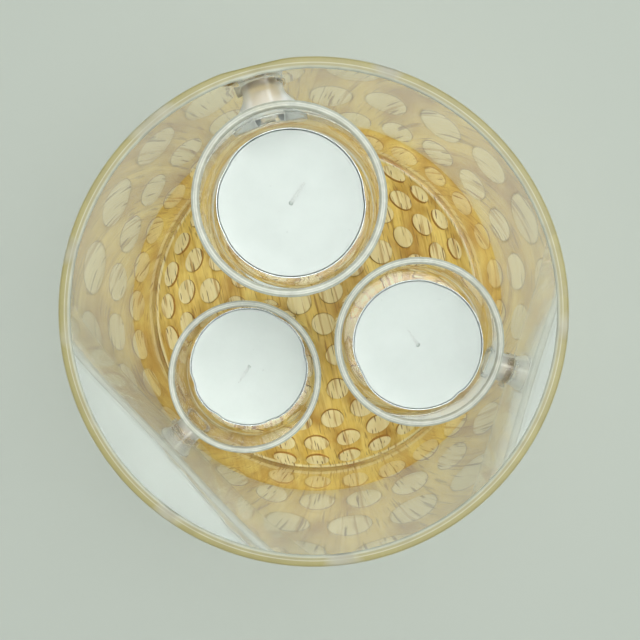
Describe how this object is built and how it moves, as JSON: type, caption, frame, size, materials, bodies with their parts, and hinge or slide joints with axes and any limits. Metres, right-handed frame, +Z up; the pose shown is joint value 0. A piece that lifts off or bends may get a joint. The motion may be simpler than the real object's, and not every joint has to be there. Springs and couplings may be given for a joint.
{
  "type": "tealight holder",
  "caption": "Glass cylinder with fused tealight cups at stepped heights, standing round a carved wooden dome on a wooden base.",
  "frame": {"origin": "centre of the footprint, on the surface that the felt feet stand on", "axes": "+Z up along the glass cylinder's axis; +Y towards the highest cup's side; +X towards the middle cup's side"},
  "size_m": [0.137, 0.137, 0.1676],
  "materials": {
    "wood": "hand-carved, oiled, satin",
    "felt": "pressed wool felt",
    "glass": "clear, fire-polished",
    "aluminium": "thin pressed foil, bright",
    "cotton": "braided, waxed",
    "wax": "white paraffin, smooth, slightly translucent"
  },
  "bodies": {
    "base": {"wood_base": "wood", "felt_foot_1": "felt", "felt_foot_2": "felt", "felt_foot_3": "felt", "felt_foot_4": "felt"},
    "glass": {"glass_cylinder": "glass", "upper_cup": "glass", "upper_bridge": "glass", "middle_cup": "glass", "middle_bridge": "glass", "lower_cup": "glass", "lower_bridge": "glass"},
    "upper_tealight": {"upper_can": "aluminium", "upper_wick_tab": "aluminium", "upper_wick": "cotton", "upper_wax": "wax"},
    "middle_tealight": {"middle_can": "aluminium", "middle_wick_tab": "aluminium", "middle_wick": "cotton", "middle_wax": "wax"},
    "lower_tealight": {"lower_can": "aluminium", "lower_wick_tab": "aluminium", "lower_wick": "cotton", "lower_wax": "wax"}
  },
  "joints": [
    {"name": "glass_lift", "type": "slide", "parent": "base", "child": "glass", "axis": [0, 0, 1], "range_m": [0, 0.024]},
    {"name": "upper_tealight_lift", "type": "slide", "parent": "glass", "child": "upper_tealight", "axis": [0, 0, 1], "range_m": [0, 0.043]},
    {"name": "middle_tealight_lift", "type": "slide", "parent": "glass", "child": "middle_tealight", "axis": [0, 0, 1], "range_m": [0, 0.088]},
    {"name": "lower_tealight_lift", "type": "slide", "parent": "glass", "child": "lower_tealight", "axis": [0, 0, 1], "range_m": [0, 0.124]}
  ]
}
